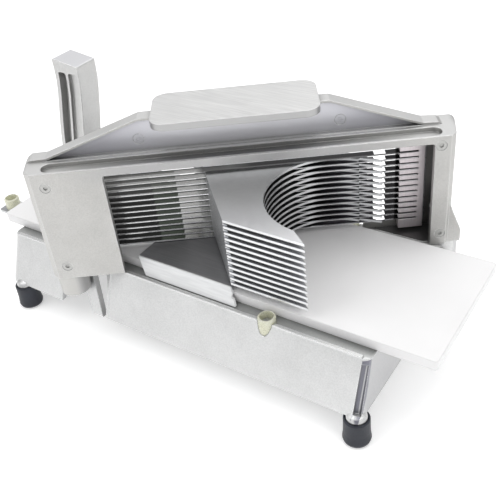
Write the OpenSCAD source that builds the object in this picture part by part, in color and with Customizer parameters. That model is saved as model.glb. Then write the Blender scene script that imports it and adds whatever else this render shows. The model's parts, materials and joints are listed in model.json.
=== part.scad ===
// Manual push-through tomato slicer: fixed horizontal blades in an arched housing,
// and a finned pusher that slides on a cutting board.
// Millimetres, Z up, bench at z = 0. +X is the cutting direction, the handle is at -X.
// The housing has its own frame: u along the blade row, v from its front face (v = 0)
// back toward the pusher, z up.

/* [Board] */
// Length of the cutting board along the travel
board_length = 514; // [440:1:600]
// Shift of the cutting board along the travel
board_x = 4; // [-40:1:40]
// Width of the cutting board
board_width = 147; // [120:1:180]
// Thickness of the cutting board
board_thick = 10; // [6:0.5:15]

/* [Base] */
// Height of the deck above the bench
deck_z = 82.5; // [60:0.5:110]
// Length of the cast base at the deck
base_length = 434; // [360:1:500]
// Shift of the cast base along the travel
base_x = -9; // [-40:1:40]
// Half width of the base at the deck
base_half = 88.6; // [80:0.2:110]
// Half width of the base at its lower edge
skirt_half = 109; // [90:0.5:130]
// Height of the lower edge of the base
skirt_z = 30; // [20:1:45]
// Foot pitch along the travel
foot_pitch_x = 415; // [340:1:480]
// Foot pitch across the travel
foot_pitch_y = 209; // [160:1:240]
// Shift of the foot pattern along the travel
foot_x = -4; // [-40:1:40]
// Radius of a rubber foot at the bench
foot_r = 13.2; // [9:0.1:18]

/* [Housing] */
// Angle of the blade row to the travel
row_angle = 34.7; // [25:0.1:45]
// Housing origin along the travel
house_x = 44; // [0:0.5:80]
// Housing origin across the travel
house_y = -17.2; // [-40:0.1:10]
// Front to back depth of the housing
house_depth = 42; // [34:1:60]
// Height of the housing ledge
ledge_z = 204.7; // [170:0.1:240]
// Underside of the housing
house_z = 84.5; // [70:0.5:100]
// Left (low u) edge of the window
window_left = -127.5; // [-150:0.5:-90]
// Right (high u) edge of the window
window_right = 178.2; // [150:0.1:190]
// Top of the window
window_top = 197.2; // [160:0.1:230]
// Length of the grip plate
grip_length = 152; // [100:1:200]
// Depth of the grip plate
grip_depth = 66; // [40:1:80]
// Underside of the grip plate
grip_z = 239; // [210:0.5:260]

/* [Blades] */
// Number of blades
blade_count = 13; // [7:1:19]
// Slice thickness, blade to blade
pitch = 6.35; // [4.7:0.05:9.6]
// Middle of the lowest blade
low_blade_z = 99; // [95:0.1:110]
// Blade thickness
blade_thick = 0.6; // [0.3:0.1:1]
// Blade width, front to back
blade_width = 9.4; // [7:0.1:9.5]

/* [Pusher] */
// Thickness of a pusher fin
fin_thick = 2.5; // [1.5:0.1:4]
// Pocket radius
pocket_r = 65.5; // [45:0.5:70]
// Top of the carriage plate
plate_z = 97.6; // [96:0.1:98]
// Top of the handle
handle_top = 261.5; // [220:1:280]
// Handle depth across the travel
handle_width = 26; // [20:1:36]

/* [Hidden] */
$fn = 32;

origin = [12.5, -3.2, 0];
fit = 0.05;      // gap between parts that touch
clearance = 0.1; // added to a radius for a hole
screw_r = 2;
thick_screw_r = 2.5;
foot_screw_r = 3;
bolt_r = 4;
screw_head_r = 5;

base_left = base_x - base_length / 2;
base_right = base_x + base_length / 2;
wall_tilt = 21.2; // lean of the ribs and channels on the long sides
board_z = deck_z + board_thick;
board_screw_y = 55;

// Bumpers: seat height and overall height
bumper_r = 8.5;
bumper_cup = 8.6; // depth of the cup in the top
front_z = 62;
front_h = 26.6;
rear_z = deck_z - 3;
rear_h = 12.8;
rear_x = -274;
rear_y = 46;
bracket_thick = 3;

bolts = [[-184.5, 15.5], [190, 22]];                              // u, v
face_screws = [[-181.5, 189.6], [-182.5, 99], [184, 195], [187.5, 97.5]]; // u, z
left_holder = [-190, -168];                                       // u from, to
right_holder = [151.8, 176.2];

plate_thick = 3.4;
plate_low_z = plate_z - plate_thick;
last_blade_z = low_blade_z + (blade_count - 1) * pitch;
comb_u = -50; // end face of the comb block
comb_v = 71;  // middle of the comb block

metal = [0.78, 0.79, 0.80];
steel = [0.70, 0.72, 0.74];
blade_steel = [0.82, 0.84, 0.86];
plate_grey = [0.55, 0.55, 0.56];
rail_grey = [0.85, 0.86, 0.86];
rubber = [0.10, 0.11, 0.13];
board_white = [0.95, 0.95, 0.94];
bumper_yellow = [0.85, 0.86, 0.62];
pad_white = [0.92, 0.92, 0.88];

// --- Helpers ---

module place() { translate(origin) children(); }

module house() { translate([house_x, house_y, 0]) rotate([0, 0, row_angle]) children(); }

// upright cylinder that starts at z
module peg(r, z, h) { translate([0, 0, z]) cylinder(r = r, h = h); }

// hole for a peg of radius r
module bore(r, z, h) { peg(r + clearance, z, h); }

// flat outline, extruded up from z
module slab(z, h) { translate([0, 0, z]) linear_extrude(h) children(); }

// outline in x (or u) and z, extruded along y (or v)
module elevation(from, to) {
  translate([0, to, 0]) rotate([90, 0, 0]) linear_extrude(to - from) children();
}

// outline in y (or v) and z, extruded along x (or u)
module section(from, length) {
  translate([from, 0, 0]) rotate([90, 0, 90]) linear_extrude(length) children();
}

module round_rect(x0, y0, x1, y1, r) {
  translate([x0 + r, y0 + r]) offset(r) square([x1 - x0 - 2 * r, y1 - y0 - 2 * r]);
}

module pair_at(x, y) { for (s = [-1, 1]) translate([x, s * y, 0]) children(); }

module both_sides() { for (s = [0, 1]) mirror([0, s, 0]) children(); }

function reversed(list) = [for (i = [len(list) - 1 : -1 : 0]) list[i]];

// --- Fastener places ---

module feet_at() {
  for (s = [-1, 1]) pair_at(foot_x + s * foot_pitch_x / 2, foot_pitch_y / 2) children();
}

module front_bumper_at() { pair_at(104, 84.2) children(); }

module rear_bumper_at() { pair_at(rear_x, rear_y) children(); }

module board_screw_at() { for (x = [-180, -20, 160]) pair_at(x, board_screw_y) children(); }

module rivet_at() { for (x = [-247, -236]) translate([x, 0, 0]) children(); }

module bracket_screw_at() { for (x = [-196, -168]) pair_at(x, 7) children(); }

module handle_screw_at() { for (x = [-181, -196]) translate([x, 0, 0]) children(); }

// The rest are in the housing frame.
module bolt_at() { for (p = bolts) translate([p[0], p[1], 0]) children(); }

// local z points back along v
module face_screw_at() {
  for (p = face_screws) translate([p[0], 0, p[1]]) rotate([-90, 0, 0]) children();
}

// local z points back along v
module web_screw_at() {
  for (u = [-92.5, 95.5]) translate([u, 29, 216.5]) rotate([-90, 0, 0]) children();
}

// local z points forward from the rear face
module holder_screw_at(spans) {
  for (span = spans, k = [1.5, blade_count - 1.5])
    translate([(span[0] + span[1]) / 2, house_depth, low_blade_z + k * pitch])
      rotate([90, 0, 0]) children();
}

module grip_screw_at() { for (s = [-1, 1]) translate([s * 48, 31.5, 0]) children(); }

module comb_screw_at() { for (u = [-30, 5, 40]) translate([u, comb_v, 0]) children(); }

// local z points along u
module arm_screw_at() {
  for (z = [117, 133]) translate([comb_u, comb_v, z]) rotate([0, 90, 0]) children();
}

// --- Base ---

// tapered block, its lower edge dropped and its sides moved in
module base_shell(drop, inset, top) {
  hull() {
    slab(skirt_z - drop, 1)
      round_rect(base_left - 2 + inset, -skirt_half + inset,
        base_right + 2 - inset, skirt_half - inset, 8);
    slab(top - 1, 1)
      round_rect(base_left + inset, -base_half + inset,
        base_right - inset, base_half - inset, 8);
  }
}

// arch and slanted opening, x and z
module side_openings() {
  arch = [[-148, 18], [-148, 50], [-143, 60], [-122, 64], [-119, 61], [-99, 27], [-96, 18]];
  slant = [[-108, 74], [-86, 74], [-84.6, 31], [-87.4, 28]];
  for (s = [-1, 1]) elevation(s * 100 - 20, s * 100 + 20)
    offset(2) offset(-2) union() {
      polygon(arch);
      polygon(slant);
    }
}

// pads that carry the housing
module outrigger_pads() {
  pad_z = 61;
  pad_h = house_z - pad_z;
  shelf_z = 72;
  translate([bolts[0][0], bolts[0][1], 0]) peg(15, pad_z, pad_h);
  translate([-197, 15, pad_z]) cube([26, 22.6, pad_h]);
  slab(pad_z, pad_h) round_rect(175, 6, 209.5, 40, 10);
  // shelf between the high-u pad and the base
  slab(shelf_z, house_z - shelf_z)
    polygon([[122, 40.6], [172, 6.6], [186, 6.6], [186, 39.6], [150, 41.2]]);
}

module base_casting() {
  column = [[0, 12], [8, 12], [9.6, 15], [9.6, 29.5], [8, 32.5], [0, 36]]; // r, z
  place() color(metal) difference() {
    union() {
      difference() {
        base_shell(0, 0, deck_z);
        base_shell(3, 5, deck_z - 5.5);
        side_openings();
      }
      // low lip along both long edges
      for (s = [-1, 1]) translate([base_left + 7, s * (base_half - 2) - 2, deck_z - 2])
        cube([base_length - 14, 4, 3.6]);
      feet_at() rotate_extrude() polygon(column);
      // slim rib beside the slanted opening
      for (s = [-1, 1]) translate([-82, s * (skirt_half - 1.2), skirt_z])
        rotate([s * wall_tilt, 0, 0]) cylinder(r = 2, h = 52);
      // board ribs below the deck, across and then along
      for (x = [-120, 60]) translate([x, -88, 62]) cube([5, 176, deck_z - 64]);
      for (s = [-1, 1]) translate([base_left + 6, s * board_screw_y - 2.5, 66])
        cube([base_length - 12, 5, deck_z - 68]);
      // bumper seats
      intersection() {
        base_shell(0, 1, deck_z);
        front_bumper_at() peg(12, 52, 30);
      }
      house() outrigger_pads();
    }
    feet_at() bore(foot_screw_r, 10, 21);
    house() bolt_at() bore(bolt_r, 40, 60);
    board_screw_at() {
      bore(screw_r, 60, 40);
      peg(4.6, 60, deck_z - 66);
    }
    front_bumper_at() {
      peg(bumper_r + 0.2, front_z, 40);
      bore(screw_r, 40, 40);
    }
    // channels at the +X corners
    for (s = [-1, 1]) translate([base_right - 3, s * (skirt_half + 0.6), skirt_z - 3])
      rotate([s * wall_tilt, 0, 0]) peg(3.6, 6.6, 47.6);
  }
}

module rubber_feet() {
  // r, z: up the outside, over the rim and down into the cup
  profile = [[0, 0], [foot_r - 3, 0], [foot_r - 0.8, 1.4], [foot_r, 4],
    [foot_r - 0.9, 12], [foot_r - 1.1, 27], [foot_r - 1.9, 28.2], [foot_r - 3, 28],
    [foot_r - 3.4, 26.5], [foot_r - 3.5, 14.9], [8.2, 11.95], [0, 11.95]];
  place() color(rubber) feet_at() difference() {
    rotate_extrude() polygon(profile);
    peg(5.6, -1, 6);
    bore(foot_screw_r, 0, 40);
  }
}

module foot_screws() {
  place() color(steel) feet_at() {
    peg(foot_screw_r, 4.9, 25.5);
    difference() {
      peg(5.2, 1.5, 3.45);
      peg(2, 0.5, 3);
    }
  }
}

// --- Board, bumpers and stop brackets ---

module cutting_board() {
  half_length = board_length / 2;
  half_width = board_width / 2;
  place() color(board_white) difference() {
    slab(deck_z, board_thick)
      round_rect(board_x - half_length, -half_width, board_x + half_length, half_width, 3);
    board_screw_at() bore(screw_r, deck_z - 1, 8);
  }
}

module board_screws() {
  place() color(steel) board_screw_at() {
    peg(screw_r, deck_z - 6, 12);
    difference() {
      peg(4, deck_z - 9, 3);
      peg(1.3, deck_z - 10, 2.5);
    }
  }
}

// round bumper with a cup in its top
module bumper(h) {
  rim_r = 6.7;
  difference() {
    rotate_extrude() polygon([[0, 0], [bumper_r, 0], [bumper_r, h - 1.2],
      [bumper_r - 1.2, h], [rim_r, h], [rim_r, h - bumper_cup], [0, h - bumper_cup]]);
    bore(screw_r, -1, h);
  }
}

module stop_bumpers() {
  place() color(bumper_yellow) {
    front_bumper_at() translate([0, 0, front_z]) bumper(front_h);
    rear_bumper_at() translate([0, 0, rear_z]) bumper(rear_h);
  }
}

module bumper_screws() {
  place() color(steel) {
    front_bumper_at() {
      peg(screw_r, 55, 25);
      peg(4, front_z + front_h - bumper_cup + fit, 3);
    }
    rear_bumper_at() {
      peg(screw_r, deck_z - 5.5, 7.5);
      peg(4, rear_z + rear_h - bumper_cup + fit, 3);
    }
  }
}

// stepped strips: a low end under the bumper and a high end under the board
module stop_brackets() {
  half_width = 12;
  step_x = -265.3;
  step_length = 3.2;
  low_z = deck_z - 2 * bracket_thick;
  place() color(steel) pair_at(0, rear_y) difference() {
    union() {
      slab(low_z, bracket_thick)
        round_rect(-286, -half_width, step_x + step_length, half_width, 3);
      translate([step_x, -half_width, low_z])
        cube([step_length, 2 * half_width, 2 * bracket_thick]);
      slab(deck_z - bracket_thick, bracket_thick)
        round_rect(step_x, -half_width, -228, half_width, 3);
    }
    translate([rear_x, 0, 0]) bore(screw_r, deck_z - 8, 8);
    rivet_at() bore(screw_r, deck_z - 8, 12);
  }
}

module bracket_rivets() {
  place() color(steel) pair_at(0, rear_y) rivet_at() {
    translate([0, 0, deck_z - 4.8]) cylinder(r1 = 2.6, r2 = 3.6, h = 1.8);
    peg(2, deck_z - 4, 4);
  }
}

// --- Housing ---

module house_box() {
  intersection() {
    linear_extrude(300) polygon([[-194, 0], [-200, 7], [-204, house_depth],
      [205, house_depth], [198, 5], [193, 0]]);
    elevation(-1, house_depth + 1) round_rect(-204.5, house_z - 12, 205.5, ledge_z, 7);
    translate([-260, -10, house_z]) cube([520, 80, 200]);
  }
}

// sloped gable above the ledge, u and z
module gable_2d(inset) {
  offset(-inset) polygon([[-201.5, 190], [-201.5, 203], [-197, 207.2], [-182, 207.6],
    [-90, grip_z], [86, grip_z], [172, 207.6], [186, 206.8], [194, 202], [200, 192],
    [201, 186]]);
}

module house_shell() {
  rear_mouth = [[-176, 60], [118, 60], [118, 96.5], [150, 96.5], [150, 192], [-176, 192]];
  difference() {
    union() {
      house_box();
      elevation(24, 39) gable_2d(0);
    }
    // cavity, window and rear mouth
    translate([-192.5, 7, 0]) cube([382.5, 31.5, window_top - 1]);
    elevation(-1, 8) round_rect(window_left, 60, window_right, window_top, 3);
    elevation(30, 50) polygon(rear_mouth);
    // channel along the ledge
    slab(ledge_z - 4.5, 8) round_rect(-184, 3.2, 186, 19.2, 7);
    // recessed web
    elevation(20, 29) difference() {
      gable_2d(2.2);
      translate([-260, 0]) square([520, ledge_z + 0.6]);
    }
  }
}

module blade_housing() {
  ear = [[185, house_z], [208.7, house_z], [208.7, 98], [199.8, 120.5], [196, 132],
    [190, 134], [185, 134]]; // u, z
  place() color(metal) house() difference() {
    union() {
      house_shell();
      // bolt posts inside the cheeks
      bolt_at() peg(9, house_z, 32);
      // ear at the high-u foot
      elevation(3, 34) offset(2) offset(-2) polygon(ear);
      // seats under the grip plate
      grip_screw_at() peg(7.4, grip_z - 14, 14);
    }
    bolt_at() bore(bolt_r, 60, 50);
    face_screw_at() {
      bore(screw_head_r, -1, 3.5);
      bore(screw_r, -1, 7.5);
    }
    web_screw_at() {
      bore(screw_head_r, -1, 2.6);
      bore(screw_r, -1, 14);
    }
    holder_screw_at([left_holder, right_holder]) bore(screw_r, -1, 10);
    grip_screw_at() bore(thick_screw_r, grip_z - 12, 20);
  }
}

module socket_screw(head_z, head_h, shaft_h, socket_h) {
  difference() {
    union() {
      peg(screw_head_r, head_z, head_h);
      cylinder(r = screw_r, h = shaft_h);
    }
    rotate([0, 0, 30]) peg(2.2, -0.6, socket_h, $fn = 6);
  }
}

module housing_screws() {
  place() color(steel) house() face_screw_at()
    socket_screw(head_z = 0.3, head_h = 2.1, shaft_h = 6.4, socket_h = 2);
}

module web_screws() {
  place() color(steel) house() web_screw_at()
    socket_screw(head_z = 0.1, head_h = 1.4, shaft_h = 9, socket_h = 1.5);
}

module housing_bolts() {
  place() color(steel) house() bolt_at() {
    peg(bolt_r, 57, 50);
    peg(7, 54.6, 5, $fn = 6);
  }
}

module housing_washers() {
  place() color(steel) house() bolt_at() difference() {
    peg(8.4, 59.6, 1.4);
    bore(bolt_r, 50, 20);
  }
}

module grip_plate() {
  half_length = grip_length / 2;
  place() color(metal) house() difference() {
    translate([0, 27 - grip_depth / 2, grip_z]) linear_extrude(6.5)
      round_rect(-half_length, 0, half_length, grip_depth, 14);
    grip_screw_at() bore(thick_screw_r, grip_z - 1, 5);
  }
}

module grip_screws() {
  place() color(steel) house() grip_screw_at() peg(thick_screw_r, grip_z - 9, 12.5);
}

// --- Blades and their holders ---

// upright bar over a span of u, with one slot for each blade
module holder(span, slot_from, slot_to) {
  house() difference() {
    translate([span[0], 28.3, 88.5]) cube([span[1] - span[0], 10.1, 99.5]);
    for (i = [0 : blade_count - 1])
      translate([slot_from, 27, low_blade_z + i * pitch - blade_thick / 2 - 0.1])
        cube([slot_to - slot_from, 12, blade_thick + 1.6]);
    holder_screw_at([span]) bore(screw_r, 0, 9);
  }
}

module blade_holder_left() { place() color(metal) holder(left_holder, -187, -167); }

module blade_holder_right() { place() color(metal) holder(right_holder, 151, 170.2); }

module holder_screws() {
  place() color(steel) house() holder_screw_at([left_holder, right_holder]) difference() {
    union() {
      peg(4.2, -2.6, 2.6);
      peg(screw_r, -1, 9);
    }
    peg(1.3, -3, 1.8);
  }
}

// blades sharpened along the edge that faces the pusher
module slicing_blades() {
  front = 28.6;
  edge = front + blade_width;
  bevel = edge - 2.6;
  half = blade_thick / 2;
  edge_half = 0.06;
  place() color(blade_steel) house() for (i = [0 : blade_count - 1])
    translate([0, 0, low_blade_z + i * pitch]) section(-186.5, 356)
      polygon([[front, -half], [bevel, -half], [edge, -edge_half],
        [edge, edge_half], [bevel, half], [front, half]]);
}

// thin upright strips beside the holders, each with two holes
module blade_pins() {
  place() color(steel) house() for (u = [-190.6, 177]) translate([u, 30, 95]) difference() {
    cube([0.6, 6, 86]);
    for (z = [11, 75]) translate([-1, 3, z]) rotate([0, 90, 0]) cylinder(r = 1, h = 3);
  }
}

// --- Pusher carriage ---

module carriage() {
  place() color(plate_grey) difference() {
    slab(plate_low_z, plate_thick) union() {
      round_rect(-54, -72.5, 58.3, 72.5, 1);
      translate([-150, -24]) square([120, 48]);
      round_rect(-208, -60, -150, 60, 4);
    }
    house() comb_screw_at() bore(screw_r, 90, 12);
    bracket_screw_at() bore(screw_r, 90, 12);
  }
}

// sloped rails that straddle the board
module side_rails() {
  rail = [[-72.55, plate_z], [-73.8, plate_z], [-82.6, 83.4], [-79.8, 83.4],
    [-73.9, 92.9], [-72.55, 93.6]]; // y, z
  raked_ends = [[-54.2, 98], [58.3, 98], [68.3, 83], [-39.6, 83]]; // x, z
  place() color(rail_grey) difference() {
    intersection() {
      both_sides() section(-60, 140) polygon(rail);
      elevation(-100, 100) polygon(raked_ends);
    }
    for (s = [-1, 1]) translate([64, s * 78, 91]) rotate([90, 0, 0])
      cylinder(r = 2.2, h = 30, center = true);
  }
}

// pads between the board and the carriage plate
module slide_pads() {
  low_z = board_z + fit;
  place() color(pad_white) for (p = [[-188, 47], [-8, 60]]) pair_at(p[0], p[1])
    slab(low_z, plate_low_z - low_z) round_rect(-10, -6, 26, 6, 3);
}

// strips along the board's long edges
module guide_strips() {
  inner_y = -board_width / 2 - fit;
  place() color(pad_white) both_sides() for (x = [-40, 22]) section(x, 34)
    polygon([[inner_y, 85.6], [-78.3, 85.6], [-75.6, 90], [inner_y, 90]]);
}

// --- Pusher comb ---

// one fin from above, with the round pocket in its +X side
module fin_2d() {
  difference() {
    polygon([[59.6, -73.5], [142, -73.5], [120, -57], [120, 72.2], [142, 77], [57, 77],
      [-31.6, 15.5], [0.5, -15.9]]);
    translate([130, 5]) circle(r = pocket_r, $fn = 96);
  }
}

// the slanted flank toward -X and -Y, where the fins thicken to leave narrow blade slots
module flank_2d() {
  intersection() {
    fin_2d();
    polygon([[57.6, -71.6], [62.6, -71.6], [4.6, -14.6], [-20, 10], [-31.6, 15.5],
      [0.5, -15.9]]);
  }
}

module pusher_comb() {
  last = blade_count - 2;
  half_fin = fin_thick / 2;
  half_flank = pitch / 2 - 0.65;
  place() color(metal) difference() {
    union() {
      for (i = [0 : last]) translate([0, 0, low_blade_z + (i + 0.5) * pitch]) {
        below = i == 0 ? half_fin : half_flank;
        above = i == last ? half_fin : half_flank;
        slab(-half_fin, fin_thick) fin_2d();
        slab(-below, below + above) flank_2d();
      }
      // block that joins the fins, and its foot
      house() {
        slab(plate_z, last_blade_z + 1 - plate_z)
          round_rect(comb_u, comb_v - 7, 58, comb_v + 7, 3);
        slab(plate_z, 5) round_rect(comb_u, comb_v - 11, 52, comb_v + 11, 4);
      }
    }
    house() {
      comb_screw_at() bore(screw_r, 90, 22);
      arm_screw_at() bore(screw_r, -1, 14);
    }
  }
}

// screw up through the carriage plate
module plate_screw() { peg(screw_r, plate_z - 3.6, 16); }

module comb_screws() { place() color(steel) house() comb_screw_at() plate_screw(); }

// --- Handle ---

module handle_bracket() {
  pedestal = [[-208, plate_z], [-156, plate_z], [-160, 104], [-171.5, 139.8],
    [-202, 139.8], [-208, 104]]; // x, z
  arm = [[-177, -6], [-177, 6], [-52, 21.5], [-40.9, 18], [-36.6, 11.4], [-42, 6]]; // x, y
  place() color(metal) difference() {
    union() {
      elevation(-13, 13) polygon(pedestal);
      slab(112, 26) polygon(arm);
    }
    // trims the arm flat against the end of the comb block
    house() translate([comb_u - fit, 40, 0]) cube([60, 60, 300]);
    bracket_screw_at() bore(screw_r, 90, 22);
    handle_screw_at() bore(thick_screw_r, 118, 30);
    house() arm_screw_at() bore(screw_r, -14, 20);
  }
}

module bracket_screws() { place() color(steel) bracket_screw_at() plate_screw(); }

module arm_screws() { place() color(steel) house() arm_screw_at() peg(screw_r, -8, 18); }

// curved edges of the handle toward -X and +X: z, x
rear_edge = [[140, -202], [156, -199.6], [175, -196.2], [192, -192.2],
  [209, -187.8], [225, -183.6], [241, -180.6], [252, -180]];
front_edge = [[140, -171], [155, -166.5], [178, -161], [196, -156.5],
  [212, -153], [226, -150], [240, -147.6], [252, -147]];
pocket_heights = [154, 175, 192, 209, 225, 241, 250];

function edge_points(edge) = [for (p = edge) [p[1], p[0]]];

// points at a share of the way from the rear edge to the front edge
function share_points(share, heights) = [for (z = heights)
  [lookup(z, rear_edge) * (1 - share) + lookup(z, front_edge) * share, z]];

module handle_2d() {
  offset(1.5) offset(-1.5) polygon(concat(
    edge_points(rear_edge),
    [[-180, handle_top + 1.9], [-146.6, handle_top - 3]],
    edge_points(reversed(front_edge))));
}

// pocket between two shares of the handle's length along x, sunk in both side faces
module handle_pockets(from, to, depth) {
  for (s = [-1, 1]) elevation(s * handle_width / 2 - depth, s * handle_width / 2 + depth)
    offset(3) offset(-3) polygon(concat(
      share_points(from, pocket_heights),
      share_points(to, reversed(pocket_heights))));
}

module handle() {
  place() color(metal) difference() {
    elevation(-handle_width / 2, handle_width / 2) handle_2d();
    // a deep and a shallow pocket with a rib between them
    handle_pockets(0.14, 0.46, depth = 9);
    handle_pockets(0.55, 0.94, depth = 3);
    handle_screw_at() bore(thick_screw_r, 138, 14);
  }
}

module handle_screws() { place() color(steel) handle_screw_at() peg(thick_screw_r, 119, 31); }

base_casting();
rubber_feet();
foot_screws();
cutting_board();
board_screws();
stop_bumpers();
bumper_screws();
stop_brackets();
bracket_rivets();
blade_housing();
housing_screws();
web_screws();
housing_bolts();
housing_washers();
blade_holder_left();
blade_holder_right();
holder_screws();
slicing_blades();
blade_pins();
grip_plate();
grip_screws();
carriage();
side_rails();
slide_pads();
guide_strips();
pusher_comb();
comb_screws();
handle_bracket();
bracket_screws();
arm_screws();
handle();
handle_screws();
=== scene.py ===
"""A bench machine of cast aluminium, standing on z = 0 (metres, +Z up).

Its base carries a white board, a comb and a carriage. The housing with its row of blades
is turned about Z by ROW_ANGLE. The shapes come from the CAD pieces; this script gives them
their materials and sets up the camera, floor, lights and world.
"""
import bpy, json, math
from mathutils import Matrix, Vector

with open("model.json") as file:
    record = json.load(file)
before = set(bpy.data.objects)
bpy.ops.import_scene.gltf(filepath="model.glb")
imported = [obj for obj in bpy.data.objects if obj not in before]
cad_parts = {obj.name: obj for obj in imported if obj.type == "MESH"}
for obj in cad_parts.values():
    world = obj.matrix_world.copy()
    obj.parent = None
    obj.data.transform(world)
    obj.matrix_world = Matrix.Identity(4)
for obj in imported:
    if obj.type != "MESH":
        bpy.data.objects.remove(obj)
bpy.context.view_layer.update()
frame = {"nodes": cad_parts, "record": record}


scene = bpy.context.scene

# Centre of the machine in plan
CENTRE_X, CENTRE_Y = 0.0125, -0.0032

# The blade row: its angle about Z, and an origin on the housing's front face
ROW_ANGLE = math.radians(34.7)
ROW_X, ROW_Y = CENTRE_X + 0.044, CENTRE_Y - 0.0172
ROW_COS, ROW_SIN = math.cos(ROW_ANGLE), math.sin(ROW_ANGLE)
ROW_ALONG = (ROW_COS, ROW_SIN, 0)
ROW_BACK = (-ROW_SIN, ROW_COS, 0)
ROW_FRONT = (ROW_SIN, -ROW_COS, 0)
UP = (0, 0, 1)


# ---------------------------------------------------------------- node builders


def srgb(*channels, scale=1.0, shift=0.0):
    """Linear colour from sRGB channels; a single channel gives a grey."""
    if len(channels) == 1:
        channels *= 3
    levels = [min(1.0, level * scale + shift) for level in channels]
    return tuple(c / 12.92 if c <= 0.04045 else ((c + 0.055) / 1.055) ** 2.4 for c in levels)


class Nodes:
    """Adds nodes to a tree. Inputs take a number, a tuple or an output socket."""

    def __init__(self, tree):
        self.tree = tree

    def new(self, kind, **settings):
        node = self.tree.nodes.new(kind)
        for name, value in settings.items():
            setattr(node, name, value)
        return node

    def feed(self, socket, value):
        if isinstance(value, bpy.types.NodeSocket):
            self.tree.links.new(value, socket)
        elif isinstance(value, tuple):
            # Colours gain an alpha of 1; vectors keep their three parts
            socket.default_value = (*value, 1.0)[:len(socket.default_value)]
        else:
            socket.default_value = value

    def mix(self, factor, first, second):
        node = self.new("ShaderNodeMix", data_type="RGBA")
        # Inputs 6 and 7 are the colour pair A and B
        for key, value in (("Factor", factor), (6, first), (7, second)):
            self.feed(node.inputs[key], value)
        return node.outputs[2]


class Surface(Nodes):
    """A node material whose base colour is built up in coats."""

    def __init__(self, name):
        self.material = bpy.data.materials.new(name)
        self.material.use_nodes = True
        super().__init__(self.material.node_tree)
        self.shader = self.tree.nodes["Principled BSDF"]
        self.coords = self.new("ShaderNodeTexCoord").outputs["Object"]
        self.colour = None

    def set(self, name, value):
        self.feed(self.shader.inputs[name], value)

    # Colour

    def mottle(self, noise, dark, light):
        """Start the base colour as a blend of two tones."""
        self.colour = self.mix(self.ramp(noise, 0.3, 0.7), dark, light)

    def coat(self, colour, *masks, amount=None):
        """Lay a colour over the base where all the masks are 1."""
        factors = masks if amount is None else (*masks, amount)
        self.colour = self.mix(self.mul(*factors), self.colour, colour)

    def finish(self, normal=None):
        self.set("Base Color", self.colour)
        if normal is not None:
            self.set("Normal", normal)
        return self.material

    # Arithmetic

    def calc(self, operation, *values, clamp=False):
        node = self.new("ShaderNodeMath", operation=operation, use_clamp=clamp)
        for socket, value in zip(node.inputs, values):
            self.feed(socket, value)
        return node.outputs[0]

    def mul(self, product, *factors):
        for factor in factors:
            product = self.calc("MULTIPLY", product, factor)
        return product

    def dot(self, first, second):
        node = self.new("ShaderNodeVectorMath", operation="DOT_PRODUCT")
        self.feed(node.inputs[0], first)
        self.feed(node.inputs[1], second)
        return node.outputs["Value"]

    def ramp(self, value, start, stop, low=0, high=1):
        """low at start, high at stop; start may be the larger of the two."""
        node = self.new("ShaderNodeMapRange")
        names = ("Value", "From Min", "From Max", "To Min", "To Max")
        for name, number in zip(names, (value, start, stop, low, high)):
            self.feed(node.inputs[name], number)
        return node.outputs["Result"]

    def fall(self, value, start, stop):
        return self.ramp(value, start, stop, low=1, high=0)

    def band(self, value, start, stop, soft):
        """1 between start and stop, 0 outside, over a soft border."""
        return self.mul(self.ramp(value, start - soft, start + soft),
                        self.fall(value, stop - soft, stop + soft))

    # Textures

    def stretch(self, scale, turn=0):
        """Object coordinates scaled per axis and turned about Z."""
        node = self.new("ShaderNodeMapping")
        self.feed(node.inputs["Scale"], scale)
        self.feed(node.inputs["Rotation"], (0, 0, turn))
        self.feed(node.inputs["Vector"], self.coords)
        return node.outputs["Vector"]

    def noise(self, scale, detail=3, rough=0.55, vector=None):
        node = self.new("ShaderNodeTexNoise")
        self.feed(node.inputs["Scale"], scale)
        self.feed(node.inputs["Detail"], detail)
        self.feed(node.inputs["Roughness"], rough)
        self.feed(node.inputs["Vector"], vector or self.coords)
        return node.outputs["Fac"]

    def grain(self, scale, turn=0, detail=3, rough=0.6):
        """Directional noise; the axis with the smallest scale has the longest streaks."""
        return self.noise(1.0, detail, rough, self.stretch(scale, turn))

    # Shape

    def position(self, direction, offset=0.0):
        return self.calc("ADD", self.dot(self.coords, direction), offset)

    def row(self):
        """Position along the blade row, behind the housing face, and height."""
        along = self.position(ROW_ALONG, -(ROW_X * ROW_COS + ROW_Y * ROW_SIN))
        behind = self.position(ROW_BACK, ROW_X * ROW_SIN - ROW_Y * ROW_COS)
        return along, behind, self.position(UP)

    def facing(self, direction):
        geometry = self.new("ShaderNodeNewGeometry")
        return self.dot(geometry.outputs["True Normal"], direction)

    def faces(self, direction):
        """1 on faces that point close to the direction."""
        return self.ramp(self.facing(direction), 0.8, 0.95)

    def rounded(self, radius):
        node = self.new("ShaderNodeBevel", samples=4)
        self.feed(node.inputs["Radius"], radius)
        return node.outputs["Normal"]

    def edge(self, radius, low=0.01, high=0.25):
        """1 on edges, 0 on flat faces."""
        geometry = self.new("ShaderNodeNewGeometry")
        match = self.dot(geometry.outputs["Normal"], self.rounded(radius))
        return self.ramp(match, 1.0 - low, 1.0 - high)

    def crevice(self, distance, low, high):
        """1 in tight corners, 0 in the open."""
        node = self.new("ShaderNodeAmbientOcclusion", samples=6)
        self.feed(node.inputs["Distance"], distance)
        return self.calc("SUBTRACT", 1.0, self.ramp(node.outputs["AO"], low, high))

    def bump(self, height, strength, distance, normal=None):
        node = self.new("ShaderNodeBump")
        self.feed(node.inputs["Strength"], strength)
        self.feed(node.inputs["Distance"], distance)
        self.feed(node.inputs["Height"], height)
        if normal is not None:
            self.feed(node.inputs["Normal"], normal)
        return node.outputs["Normal"]

    def scatter(self, weight, scale, radius):
        self.set("Subsurface Weight", weight)
        self.set("Subsurface Scale", scale)
        self.set("Subsurface Radius", radius)


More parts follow.
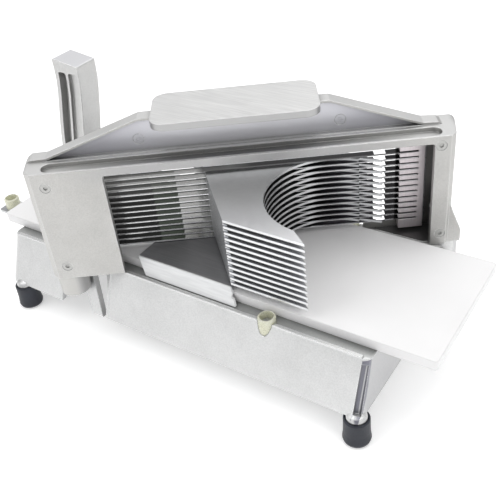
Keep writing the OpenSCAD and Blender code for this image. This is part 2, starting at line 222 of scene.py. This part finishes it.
# ---------------------------------------------------------------- zones of the castings


def housing_zone(mat):
    """Lilac-grey recessed web with painted light in its middle; painted light on upward faces;
    painted shade under the ledge, in the ledge channel and on the inside walls.
    """
    along, behind, z = mat.row()
    front = mat.ramp(mat.facing(ROW_FRONT), 0.7, 0.9)

    # Recessed web, lilac-grey, lighter towards the middle of the row: painted light under the
    # grip plate
    web = mat.mul(front, mat.band(behind, 0.0285, 0.0300, soft=0.0002),
                  mat.ramp(z, 0.2050, 0.2060))
    middle = mat.fall(mat.calc("ABSOLUTE", along), 0.045, 0.13)
    web_tone_and_light = mat.mix(middle, srgb(0.72, 0.72, 0.75), srgb(0.91, 0.91, 0.93))
    mat.coat(web_tone_and_light, web, amount=0.9)

    # Painted shade on the upper part of the front face, under the ledge
    mat.coat(srgb(0.64, 0.64, 0.645), front, mat.ramp(behind, 0.0008, 0.0004),
             mat.ramp(z, 0.185, 0.197),
             mat.fall(mat.calc("ABSOLUTE", along), 0.10, 0.165), amount=0.7)

    # Painted light on upward faces, then painted shade in the channel, which fades towards
    # both ends
    top = mat.faces(UP)
    mat.coat(srgb(0.90, 0.90, 0.895), top, amount=0.85)
    mat.coat(srgb(0.48, 0.48, 0.49), top, mat.band(z, 0.1990, 0.2012, soft=0.0003),
             mat.ramp(along, -0.16, -0.06, low=0.1, high=0.85),
             mat.ramp(along, 0.05, 0.14, low=1.0, high=0.12))

    # Painted shade on the inside walls across the row, facing either way
    right = mat.ramp(mat.facing(ROW_ALONG), 0.6, 0.9)
    left = mat.fall(mat.facing(ROW_ALONG), -0.9, -0.6)
    mat.coat(srgb(0.20, 0.20, 0.21), mat.calc("MAXIMUM", right, left),
             mat.band(along, -0.195, 0.1905, soft=0.0005),
             mat.ramp(behind, 0.005, 0.009), mat.ramp(z, 0.200, 0.198), amount=0.9)


def base_zone(mat):
    """Painted shade on the deck between the board and the lip, on the end walls, in the corner
    channels, on a shelf near the right end of the row and on the raised area beyond its left
    end.
    """
    x = mat.position((1, 0, 0), -CENTRE_X)
    y = mat.calc("ABSOLUTE", mat.position((0, 1, 0), -CENTRE_Y))
    along, behind, z = mat.row()
    top = mat.faces(UP)

    # Painted shade on the deck, darkest beside the board
    deck = mat.mul(top, mat.ramp(y, 0.0728, 0.0735), mat.fall(y, 0.0843, 0.0848))
    board_shade = mat.ramp(y, 0.0735, 0.0850, low=1.0, high=0.45)
    mat.coat(srgb(0.40, 0.41, 0.40), deck, board_shade, amount=0.8)

    # Painted shade on the walls of the corner channels, which lean inwards by 0.3879 per unit
    # of height
    lean = mat.calc("ADD", y, mat.mul(z, 0.3879))
    groove = mat.mul(mat.band(x, 0.2012, 0.2088, soft=0.0002),
                     mat.band(lean, 0.1150, 0.1252, soft=0.0004),
                     mat.ramp(z, 0.0815, 0.0805))
    normal = mat.new("ShaderNodeSeparateXYZ")
    mat.feed(normal.inputs[0], mat.new("ShaderNodeNewGeometry").outputs["True Normal"])
    wall = mat.mul(mat.calc("ABSOLUTE", normal.outputs["X"]), groove)
    mat.coat(srgb(0.33, 0.33, 0.40), mat.ramp(wall, 0.03, 0.25, high=0.8))

    # Painted shade on a shelf near the right end of the row
    mat.coat(srgb(0.22), top, mat.ramp(along, 0.110, 0.118), mat.ramp(behind, 0.004, 0.006),
             mat.ramp(z, 0.0835, 0.0842), mat.ramp(along, 0.192, 0.190), amount=0.9)

    # Painted shade on the raised area beyond the left end of the row
    mat.coat(srgb(0.72, 0.715, 0.70), mat.ramp(along, -0.1655, -0.1675),
             mat.ramp(behind, 0.0155, 0.0150), mat.ramp(z, 0.0605, 0.0615), amount=0.8)

    # Painted shade on the end walls facing +X
    mat.coat(srgb(0.66, 0.66, 0.67), mat.faces((1, 0, 0)), amount=0.5)


def screw_light_zone(mat):
    """Painted light: heads in the web are brighter than the ones in the cheeks below."""
    mat.coat(srgb(0.80, 0.80, 0.82), mat.ramp(mat.position(UP), 0.200, 0.206))


def upward_light_zone(mat):
    """Painted light on upward faces."""
    mat.coat(srgb(0.89, 0.89, 0.90), mat.faces(UP), amount=0.9)


# ---------------------------------------------------------------- materials


def cast(name, colour, rough=0.42, edge_width=0.0016, metallic=0.88, corner_shade=0.5, zone=None):
    """Bead-blasted cast aluminium: fine grain, soft mottling, smoother edges with a painted
    highlight, painted shade in the corners.
    """
    mat = Surface(name)
    broad = mat.noise(scale=14, detail=4, rough=0.6)
    medium = mat.noise(scale=90, detail=4, rough=0.6)
    fine = mat.noise(scale=1500, detail=2, rough=0.7)
    speck = mat.noise(scale=720, detail=2, rough=0.8)
    mat.mottle(broad, srgb(*colour, shift=-0.035), srgb(*colour, shift=0.035))
    mat.coat(srgb(*colour, scale=0.93), mat.ramp(medium, 0.45, 0.75), amount=0.25)
    mat.coat(srgb(*colour, scale=0.83), mat.ramp(speck, 0.46, 0.74, high=0.24))
    mat.coat(srgb(*colour, scale=1.12), mat.ramp(speck, 0.54, 0.28, high=0.24))
    # Painted light and shade for the zones of this casting
    if zone:
        zone(mat)
    # Painted highlight on the edges
    edge = mat.edge(edge_width, low=0.005, high=0.16)
    mat.coat(srgb(0.93, 0.935, 0.93), edge, amount=0.65)
    # Painted shade in tight corners, weighted per casting
    crevice = mat.crevice(distance=0.010, low=0.25, high=0.85)
    mat.coat(srgb(*colour, scale=0.45), crevice, amount=corner_shade)
    mat.set("Metallic", metallic)
    matt = mat.calc("ADD", mat.ramp(broad, 0.25, 0.75, low=rough - 0.05, high=rough + 0.06),
                    mat.ramp(fine, 0.3, 0.7, low=-0.04, high=0.04))
    mat.set("Roughness", mat.calc("SUBTRACT", matt, mat.mul(edge, 0.14), clamp=True))
    normal = mat.rounded(edge_width * 0.8)
    normal = mat.bump(fine, strength=0.30, distance=0.00012, normal=normal)
    return mat.finish(mat.bump(medium, strength=0.10, distance=0.0006, normal=normal))


def brushed(name, colour, rough, grain, metallic, edge_width, strength, turn=0, side_shade=None):
    """Machined or brushed metal with streaks, a painted highlight on the edges, painted shade
    in the corners and optional painted shade on the faces that do not point up.
    """
    mat = Surface(name)
    streak = mat.grain(grain, turn)
    broad = mat.noise(scale=18, detail=3, rough=0.6)
    mat.mottle(streak, srgb(*colour, shift=-0.035), srgb(*colour, shift=0.03))
    mat.coat(srgb(*colour, scale=0.92), mat.ramp(broad, 0.4, 0.7), amount=0.25)
    # Optional painted shade on the faces that do not point up
    if side_shade:
        mat.coat(srgb(side_shade), mat.ramp(mat.facing(UP), 0.6, 0.9, low=0.9, high=0))
    # Painted highlight on the edges
    mat.coat(srgb(0.95), mat.edge(edge_width), amount=0.6)
    # Painted shade in tight corners
    crevice = mat.crevice(distance=0.008, low=0.2, high=0.8)
    mat.coat(srgb(*colour, scale=0.5), crevice, amount=0.4)
    mat.set("Metallic", metallic)
    mat.set("Roughness", mat.ramp(streak, 0.25, 0.75, low=rough - 0.07, high=rough + 0.10))
    normal = mat.rounded(edge_width)
    return mat.finish(mat.bump(streak, strength, distance=0.00012, normal=normal))


def white_plastic(name, colour, rough=0.42):
    """White plastic with fine cuts in two directions."""
    mat = Surface(name)
    broad = mat.noise(scale=9)
    fine = mat.noise(scale=1100, detail=2, rough=0.7)
    cuts_x = mat.grain((35, 1400, 40), turn=0.35, detail=2, rough=0.5)
    cuts_y = mat.grain((1300, 30, 40), turn=0.9, detail=2, rough=0.5)
    cuts = mat.calc("MAXIMUM", mat.ramp(cuts_x, 0.70, 0.78), mat.ramp(cuts_y, 0.72, 0.80))
    mat.mottle(broad, srgb(*colour, shift=-0.012), srgb(*colour, shift=0.01))
    mat.coat(srgb(0.80, 0.80, 0.79), cuts, amount=0.18)
    mat.set("Roughness", mat.ramp(fine, 0.3, 0.7, low=rough - 0.05, high=rough + 0.08))
    mat.scatter(weight=0.10, scale=0.004, radius=(1.0, 1.0, 1.0))
    mat.set("Specular IOR Level", 0.45)
    normal = mat.bump(fine, strength=0.10, distance=0.0002, normal=mat.rounded(0.0014))
    return mat.finish(mat.bump(cuts, strength=-0.12, distance=0.0002, normal=normal))


def rubber(name):
    """Dark blue-grey rubber with a painted highlight on its edges."""
    mat = Surface(name)
    fine = mat.noise(scale=1600, detail=3, rough=0.7)
    broad = mat.noise(scale=60, detail=4, rough=0.6)
    mat.mottle(broad, srgb(0.105, 0.118, 0.150), srgb(0.145, 0.160, 0.200))
    # Painted highlight on the edges
    mat.coat(srgb(0.30, 0.32, 0.36), mat.edge(0.0012), amount=0.35)
    mat.set("Roughness", mat.ramp(fine, 0.3, 0.7, low=0.40, high=0.56))
    mat.set("Specular IOR Level", 0.45)
    normal = mat.bump(fine, strength=0.25, distance=0.0002, normal=mat.rounded(0.0012))
    return mat.finish(mat.bump(broad, strength=0.08, distance=0.0008, normal=normal))


def bumper(name):
    """Translucent cream plastic."""
    mat = Surface(name)
    broad = mat.noise(scale=120)
    fine = mat.noise(scale=900, detail=2)
    mat.mottle(broad, srgb(0.86, 0.86, 0.76), srgb(0.90, 0.90, 0.82))
    mat.set("Roughness", mat.ramp(fine, 0.3, 0.7, low=0.22, high=0.36))
    mat.set("Transmission Weight", 0.12)
    mat.scatter(weight=0.5, scale=0.006, radius=(1.0, 1.0, 0.85))
    mat.set("IOR", 1.46)
    normal = mat.rounded(0.0008)
    return mat.finish(mat.bump(broad, strength=0.06, distance=0.0006, normal=normal))


def blades(name):
    """Polished strips: painted highlight on the honed front, painted reflections and shade
    between the blades, and a painted glow at one place along the row.
    """
    mat = Surface(name)
    along, behind, z = mat.row()
    streak = mat.grain((18, 1500, 1500), turn=-ROW_ANGLE)
    tall = mat.ramp(z, 0.150, 0.172)
    left = mat.fall(along, -0.020, 0.0)

    # Honed strip along the front, a little wider high up on the left
    width = mat.calc("ADD", 0.0300, mat.mul(tall, left, 0.0022))
    strip = mat.fall(mat.calc("SUBTRACT", behind, width), -0.0002, 0.0002)

    # Painted reflections and shade, from left to right along the row
    mat.colour = mat.mix(mat.ramp(along, -0.135, -0.100), srgb(0.05), srgb(0.12, 0.13, 0.115))
    mat.coat(srgb(0.29, 0.32, 0.28), mat.band(along, -0.0900, -0.0660, soft=0.0004))
    mat.coat(srgb(0.80, 0.80, 0.79), mat.ramp(along, -0.0660, -0.0655))
    mat.coat(srgb(0.60, 0.60, 0.59), tall, left, amount=0.55)
    mat.coat(srgb(0.17, 0.16, 0.17), mat.ramp(along, -0.012, 0.010))
    mat.coat(srgb(0.27, 0.26, 0.29), mat.ramp(along, 0.075, 0.110, high=0.8))
    mat.coat(srgb(0.11, 0.10, 0.11), mat.band(along, 0.1385, 0.153, soft=0.0004))
    # Painted highlight on the honed front strip, dimmer high up on the left and towards the
    # right end
    honed_highlight = mat.mix(mat.mul(tall, left), srgb(0.93, 0.93, 0.935), srgb(0.76, 0.76, 0.755))
    mat.coat(honed_highlight, strip, mat.ramp(along, 0.10, 0.127, low=0.95, high=0.75))

    # Painted light: one span along the row glows white behind the strip, with painted shade on
    # the strip in front of it
    painted_glow_span = (0.1274, 0.1385)
    painted_glow = mat.mul(mat.band(along, *painted_glow_span, soft=0.0003), mat.fall(strip, 0.4, 0.6))
    mat.coat(srgb(0.97), painted_glow)
    mat.coat(srgb(0.25, 0.24, 0.26), mat.band(along, *painted_glow_span, soft=0.0003), strip,
             amount=0.85)

    # Painted shade on the rear of the left blades, and on the tops outside the glow
    mat.coat(srgb(0.10), mat.ramp(behind, 0.0348, 0.0360), mat.fall(along, -0.020, -0.012),
             amount=0.75)
    mat.coat(srgb(0.25), mat.ramp(z, 0.1735, 0.1740), mat.ramp(along, -0.045, -0.038),
             mat.fall(painted_glow, 0.4, 0.6), amount=0.8)
    mat.set("Metallic", mat.fall(painted_glow, 0, 1))
    mat.set("Roughness", mat.ramp(streak, 0.25, 0.75, low=0.14, high=0.32))
    mat.set("Emission Color", (1, 1, 1))
    mat.set("Emission Strength", mat.mul(painted_glow, 0.75))
    return mat.finish(mat.bump(streak, strength=0.05, distance=0.0001))


def comb(name):
    """Machined fins with honed fin edges: painted light on the smooth tops, painted shade on
    the faces pointing -X -Y and in the grey gaps, deepest at the back.
    """
    mat = Surface(name)
    fin_top = (0.1725, 0.1732)  # heights between which gap floor turns to fin top
    broad = mat.noise(scale=22, detail=3, rough=0.5)
    lines = mat.grain((220, 220, 2400))
    upward = mat.faces(UP)
    top = mat.mul(upward, mat.ramp(mat.position(UP), *fin_top))
    gap = mat.mul(upward, mat.fall(mat.position(UP), *fin_top))
    y = mat.position((0, 1, 0), -CENTRE_Y)
    mat.mottle(broad, srgb(0.84, 0.845, 0.85), srgb(0.90, 0.905, 0.91))
    mat.coat(srgb(0.70, 0.70, 0.71), mat.ramp(lines, 0.4, 0.7), amount=0.10)
    # Painted shade on the faces pointing -X -Y
    mat.coat(srgb(0.58, 0.59, 0.60), mat.faces((-0.70, -0.71, 0)), amount=0.55)
    # Painted light on the fin tops, strongest at the front
    mat.coat(srgb(0.93, 0.93, 0.935), top, mat.ramp(y, -0.075, 0.01, low=0.6, high=0.0))
    # Painted shade on the gap floors, deepening towards the back
    gap_shade = mat.mix(mat.ramp(y, -0.074, -0.045),
                         srgb(0.66, 0.665, 0.68), srgb(0.15, 0.145, 0.15))
    mat.coat(gap_shade, gap, amount=0.95)
    mat.set("Metallic", 0.80)
    mat.set("Roughness", mat.ramp(lines, 0.25, 0.75, low=0.30, high=0.42))
    normal = mat.rounded(0.0003)
    return mat.finish(mat.bump(lines, strength=0.06, distance=0.0001, normal=normal))


def floor_pale():
    mat = Surface("floor_pale")
    mat.colour = mat.mix(mat.noise(scale=3, detail=2), srgb(0.955), srgb(0.965))
    mat.set("Roughness", 0.75)
    mat.set("Specular IOR Level", 0.15)
    mat.set("Emission Color", (1, 1, 1))
    mat.set("Emission Strength", 0.34)
    return mat.finish()


materials = {
    "cast_base": cast("cast_base_blasted", (0.83, 0.832, 0.83), rough=0.38, metallic=0.72,
                      zone=base_zone),
    # Housing: stronger painted shade in its corners
    "cast_housing": cast("cast_housing_blasted", (0.725, 0.722, 0.712), metallic=0.80,
                         corner_shade=0.75, zone=housing_zone),
    "cast_handle": cast("cast_handle_blasted", (0.765, 0.765, 0.76), rough=0.40,
                        metallic=0.80, zone=upward_light_zone),
    # Grip: painted shade on the faces that do not point up
    "cast_grip": brushed("grip_brushed", (0.915, 0.915, 0.91), rough=0.38,
                         grain=(25, 700, 700), metallic=0.80, edge_width=0.0012,
                         strength=0.12, turn=-ROW_ANGLE, side_shade=0.66),
    # Screws: weak painted shade in their corners
    "cast_screw": cast("screw_satin", (0.70, 0.70, 0.69), edge_width=0.0005, corner_shade=0.15,
                       zone=screw_light_zone),
    "comb_metal": comb("comb_machined"),
    "carriage_metal": brushed("carriage_brushed", (0.70, 0.70, 0.71), rough=0.36,
                              grain=(30, 700, 700), metallic=0.9, edge_width=0.0008,
                              strength=0.05),
    "rail_metal": brushed("rail_polished", (0.95, 0.955, 0.955), rough=0.34,
                          grain=(30, 400, 400), metallic=0.35, edge_width=0.0006,
                          strength=0.04),
    "holder_metal": brushed("holder_machined", (0.88, 0.85, 0.86), rough=0.38,
                            grain=(900, 900, 60), metallic=0.75, edge_width=0.0006,
                            strength=0.10),
    "blade_steel": blades("blade_polished"),
    "fastener_steel": brushed("fastener_stainless", (0.74, 0.745, 0.76), rough=0.28,
                              grain=(700, 700, 700), metallic=1.0, edge_width=0.0004,
                              strength=0.08),
    "bracket_steel": brushed("bracket_sheet", (0.76, 0.765, 0.77), rough=0.32,
                             grain=(40, 1200, 1200), metallic=0.95, edge_width=0.0005,
                             strength=0.14),
    "board_plastic": white_plastic("board_white", (0.905, 0.903, 0.903)),
    "pad_plastic": white_plastic("pad_white", (0.91, 0.91, 0.87), rough=0.35),
    "bumper_plastic": bumper("bumper_translucent"),
    "rubber": rubber("foot_rubber"),
}
slots = {part["node"]: part["material_slot"] for part in frame["record"]["subparts"]}
for name, piece in frame["nodes"].items():
    piece.data.materials.clear()
    piece.data.materials.append(materials[slots[name]])


# ---------------------------------------------------------------- camera, floor and light


def add_object(name, data):
    item = bpy.data.objects.new(name, data)
    scene.collection.objects.link(item)
    return item


def add_camera():
    """Looks down on the machine from the front right."""
    right = Vector((0.83991217, 0.5356792, -0.08715119))
    up = Vector((-0.25962363, 0.53759274, 0.80224037))
    forward = Vector((-0.47659533, 0.65118495, -0.59060567))
    place = Vector((0.40262, -0.49387, 0.53184)) + Vector((CENTRE_X, CENTRE_Y, 0))
    camera = add_object("camera", bpy.data.cameras.new("camera"))
    turn = Matrix((right, up, -forward)).transposed().to_4x4()
    camera.matrix_world = Matrix.Translation(place) @ turn
    camera.data.sensor_width = 36.0
    camera.data.sensor_fit = "HORIZONTAL"
    camera.data.lens = 53.6328
    camera.data.shift_x = -0.0168
    camera.data.shift_y = 0.0034
    camera.data.clip_start = 0.01
    scene.camera = camera


def add_floor(size=40.0, z=-0.0002):
    half = size / 2
    corners = [(-half, -half, 0), (half, -half, 0), (half, half, 0), (-half, half, 0)]
    mesh = bpy.data.meshes.new("floor")
    mesh.from_pydata(corners, [], [(0, 1, 2, 3)])
    floor = add_object("floor", mesh)
    floor.location = (0, 0, z)
    mesh.materials.append(floor_pale())


def add_light(name, place, target, size, power):
    """Square area light aimed at the target."""
    light = bpy.data.lights.new(name, "AREA")
    light.shape = "RECTANGLE"
    light.size = light.size_y = size
    light.energy = power
    lamp = add_object(name, light)
    lamp.location = place
    aim = Vector(target) - Vector(place)
    lamp.rotation_euler = aim.to_track_quat("-Z", "Y").to_euler()


def add_world():
    """Grey studio that brightens upwards; plain white to the camera."""
    world = bpy.data.worlds.new("studio")
    scene.world = world
    world.use_nodes = True
    nodes = Nodes(world.node_tree)
    split = nodes.new("ShaderNodeSeparateXYZ")
    nodes.feed(split.inputs[0], nodes.new("ShaderNodeTexCoord").outputs["Generated"])
    sky = nodes.new("ShaderNodeValToRGB")
    stops = sky.color_ramp.elements
    stops.new(0.35)
    # Colours at 0, 0.35 and 1
    colours = ((0.52, 0.52, 0.53, 1), (0.60, 0.60, 0.61, 1), (0.95, 0.95, 0.95, 1))
    for stop, colour in zip(stops, colours):
        stop.color = colour
    nodes.feed(sky.inputs["Fac"], split.outputs["Z"])
    seen = nodes.new("ShaderNodeLightPath").outputs["Is Camera Ray"]
    background = nodes.tree.nodes["Background"]
    nodes.feed(background.inputs["Color"], nodes.mix(seen, sky.outputs["Color"], (1, 1, 1)))
    nodes.feed(background.inputs["Strength"], 0.9)


add_camera()
add_floor()
add_light("key", place=(-0.9, -1.0, 1.7), target=(0, 0, 0.1), size=1.3, power=10)
add_light("top", place=(0.1, 0.5, 1.9), target=(0, 0, 0.1), size=1.9, power=17)
add_light("fill", place=(1.4, -0.6, 0.9), target=(0.05, 0, 0.1), size=0.9, power=3)
add_world()

scene.view_settings.view_transform = "Standard"
scene.view_settings.look = "None"
scene.view_settings.exposure = 0.0
scene.view_settings.gamma = 1.0
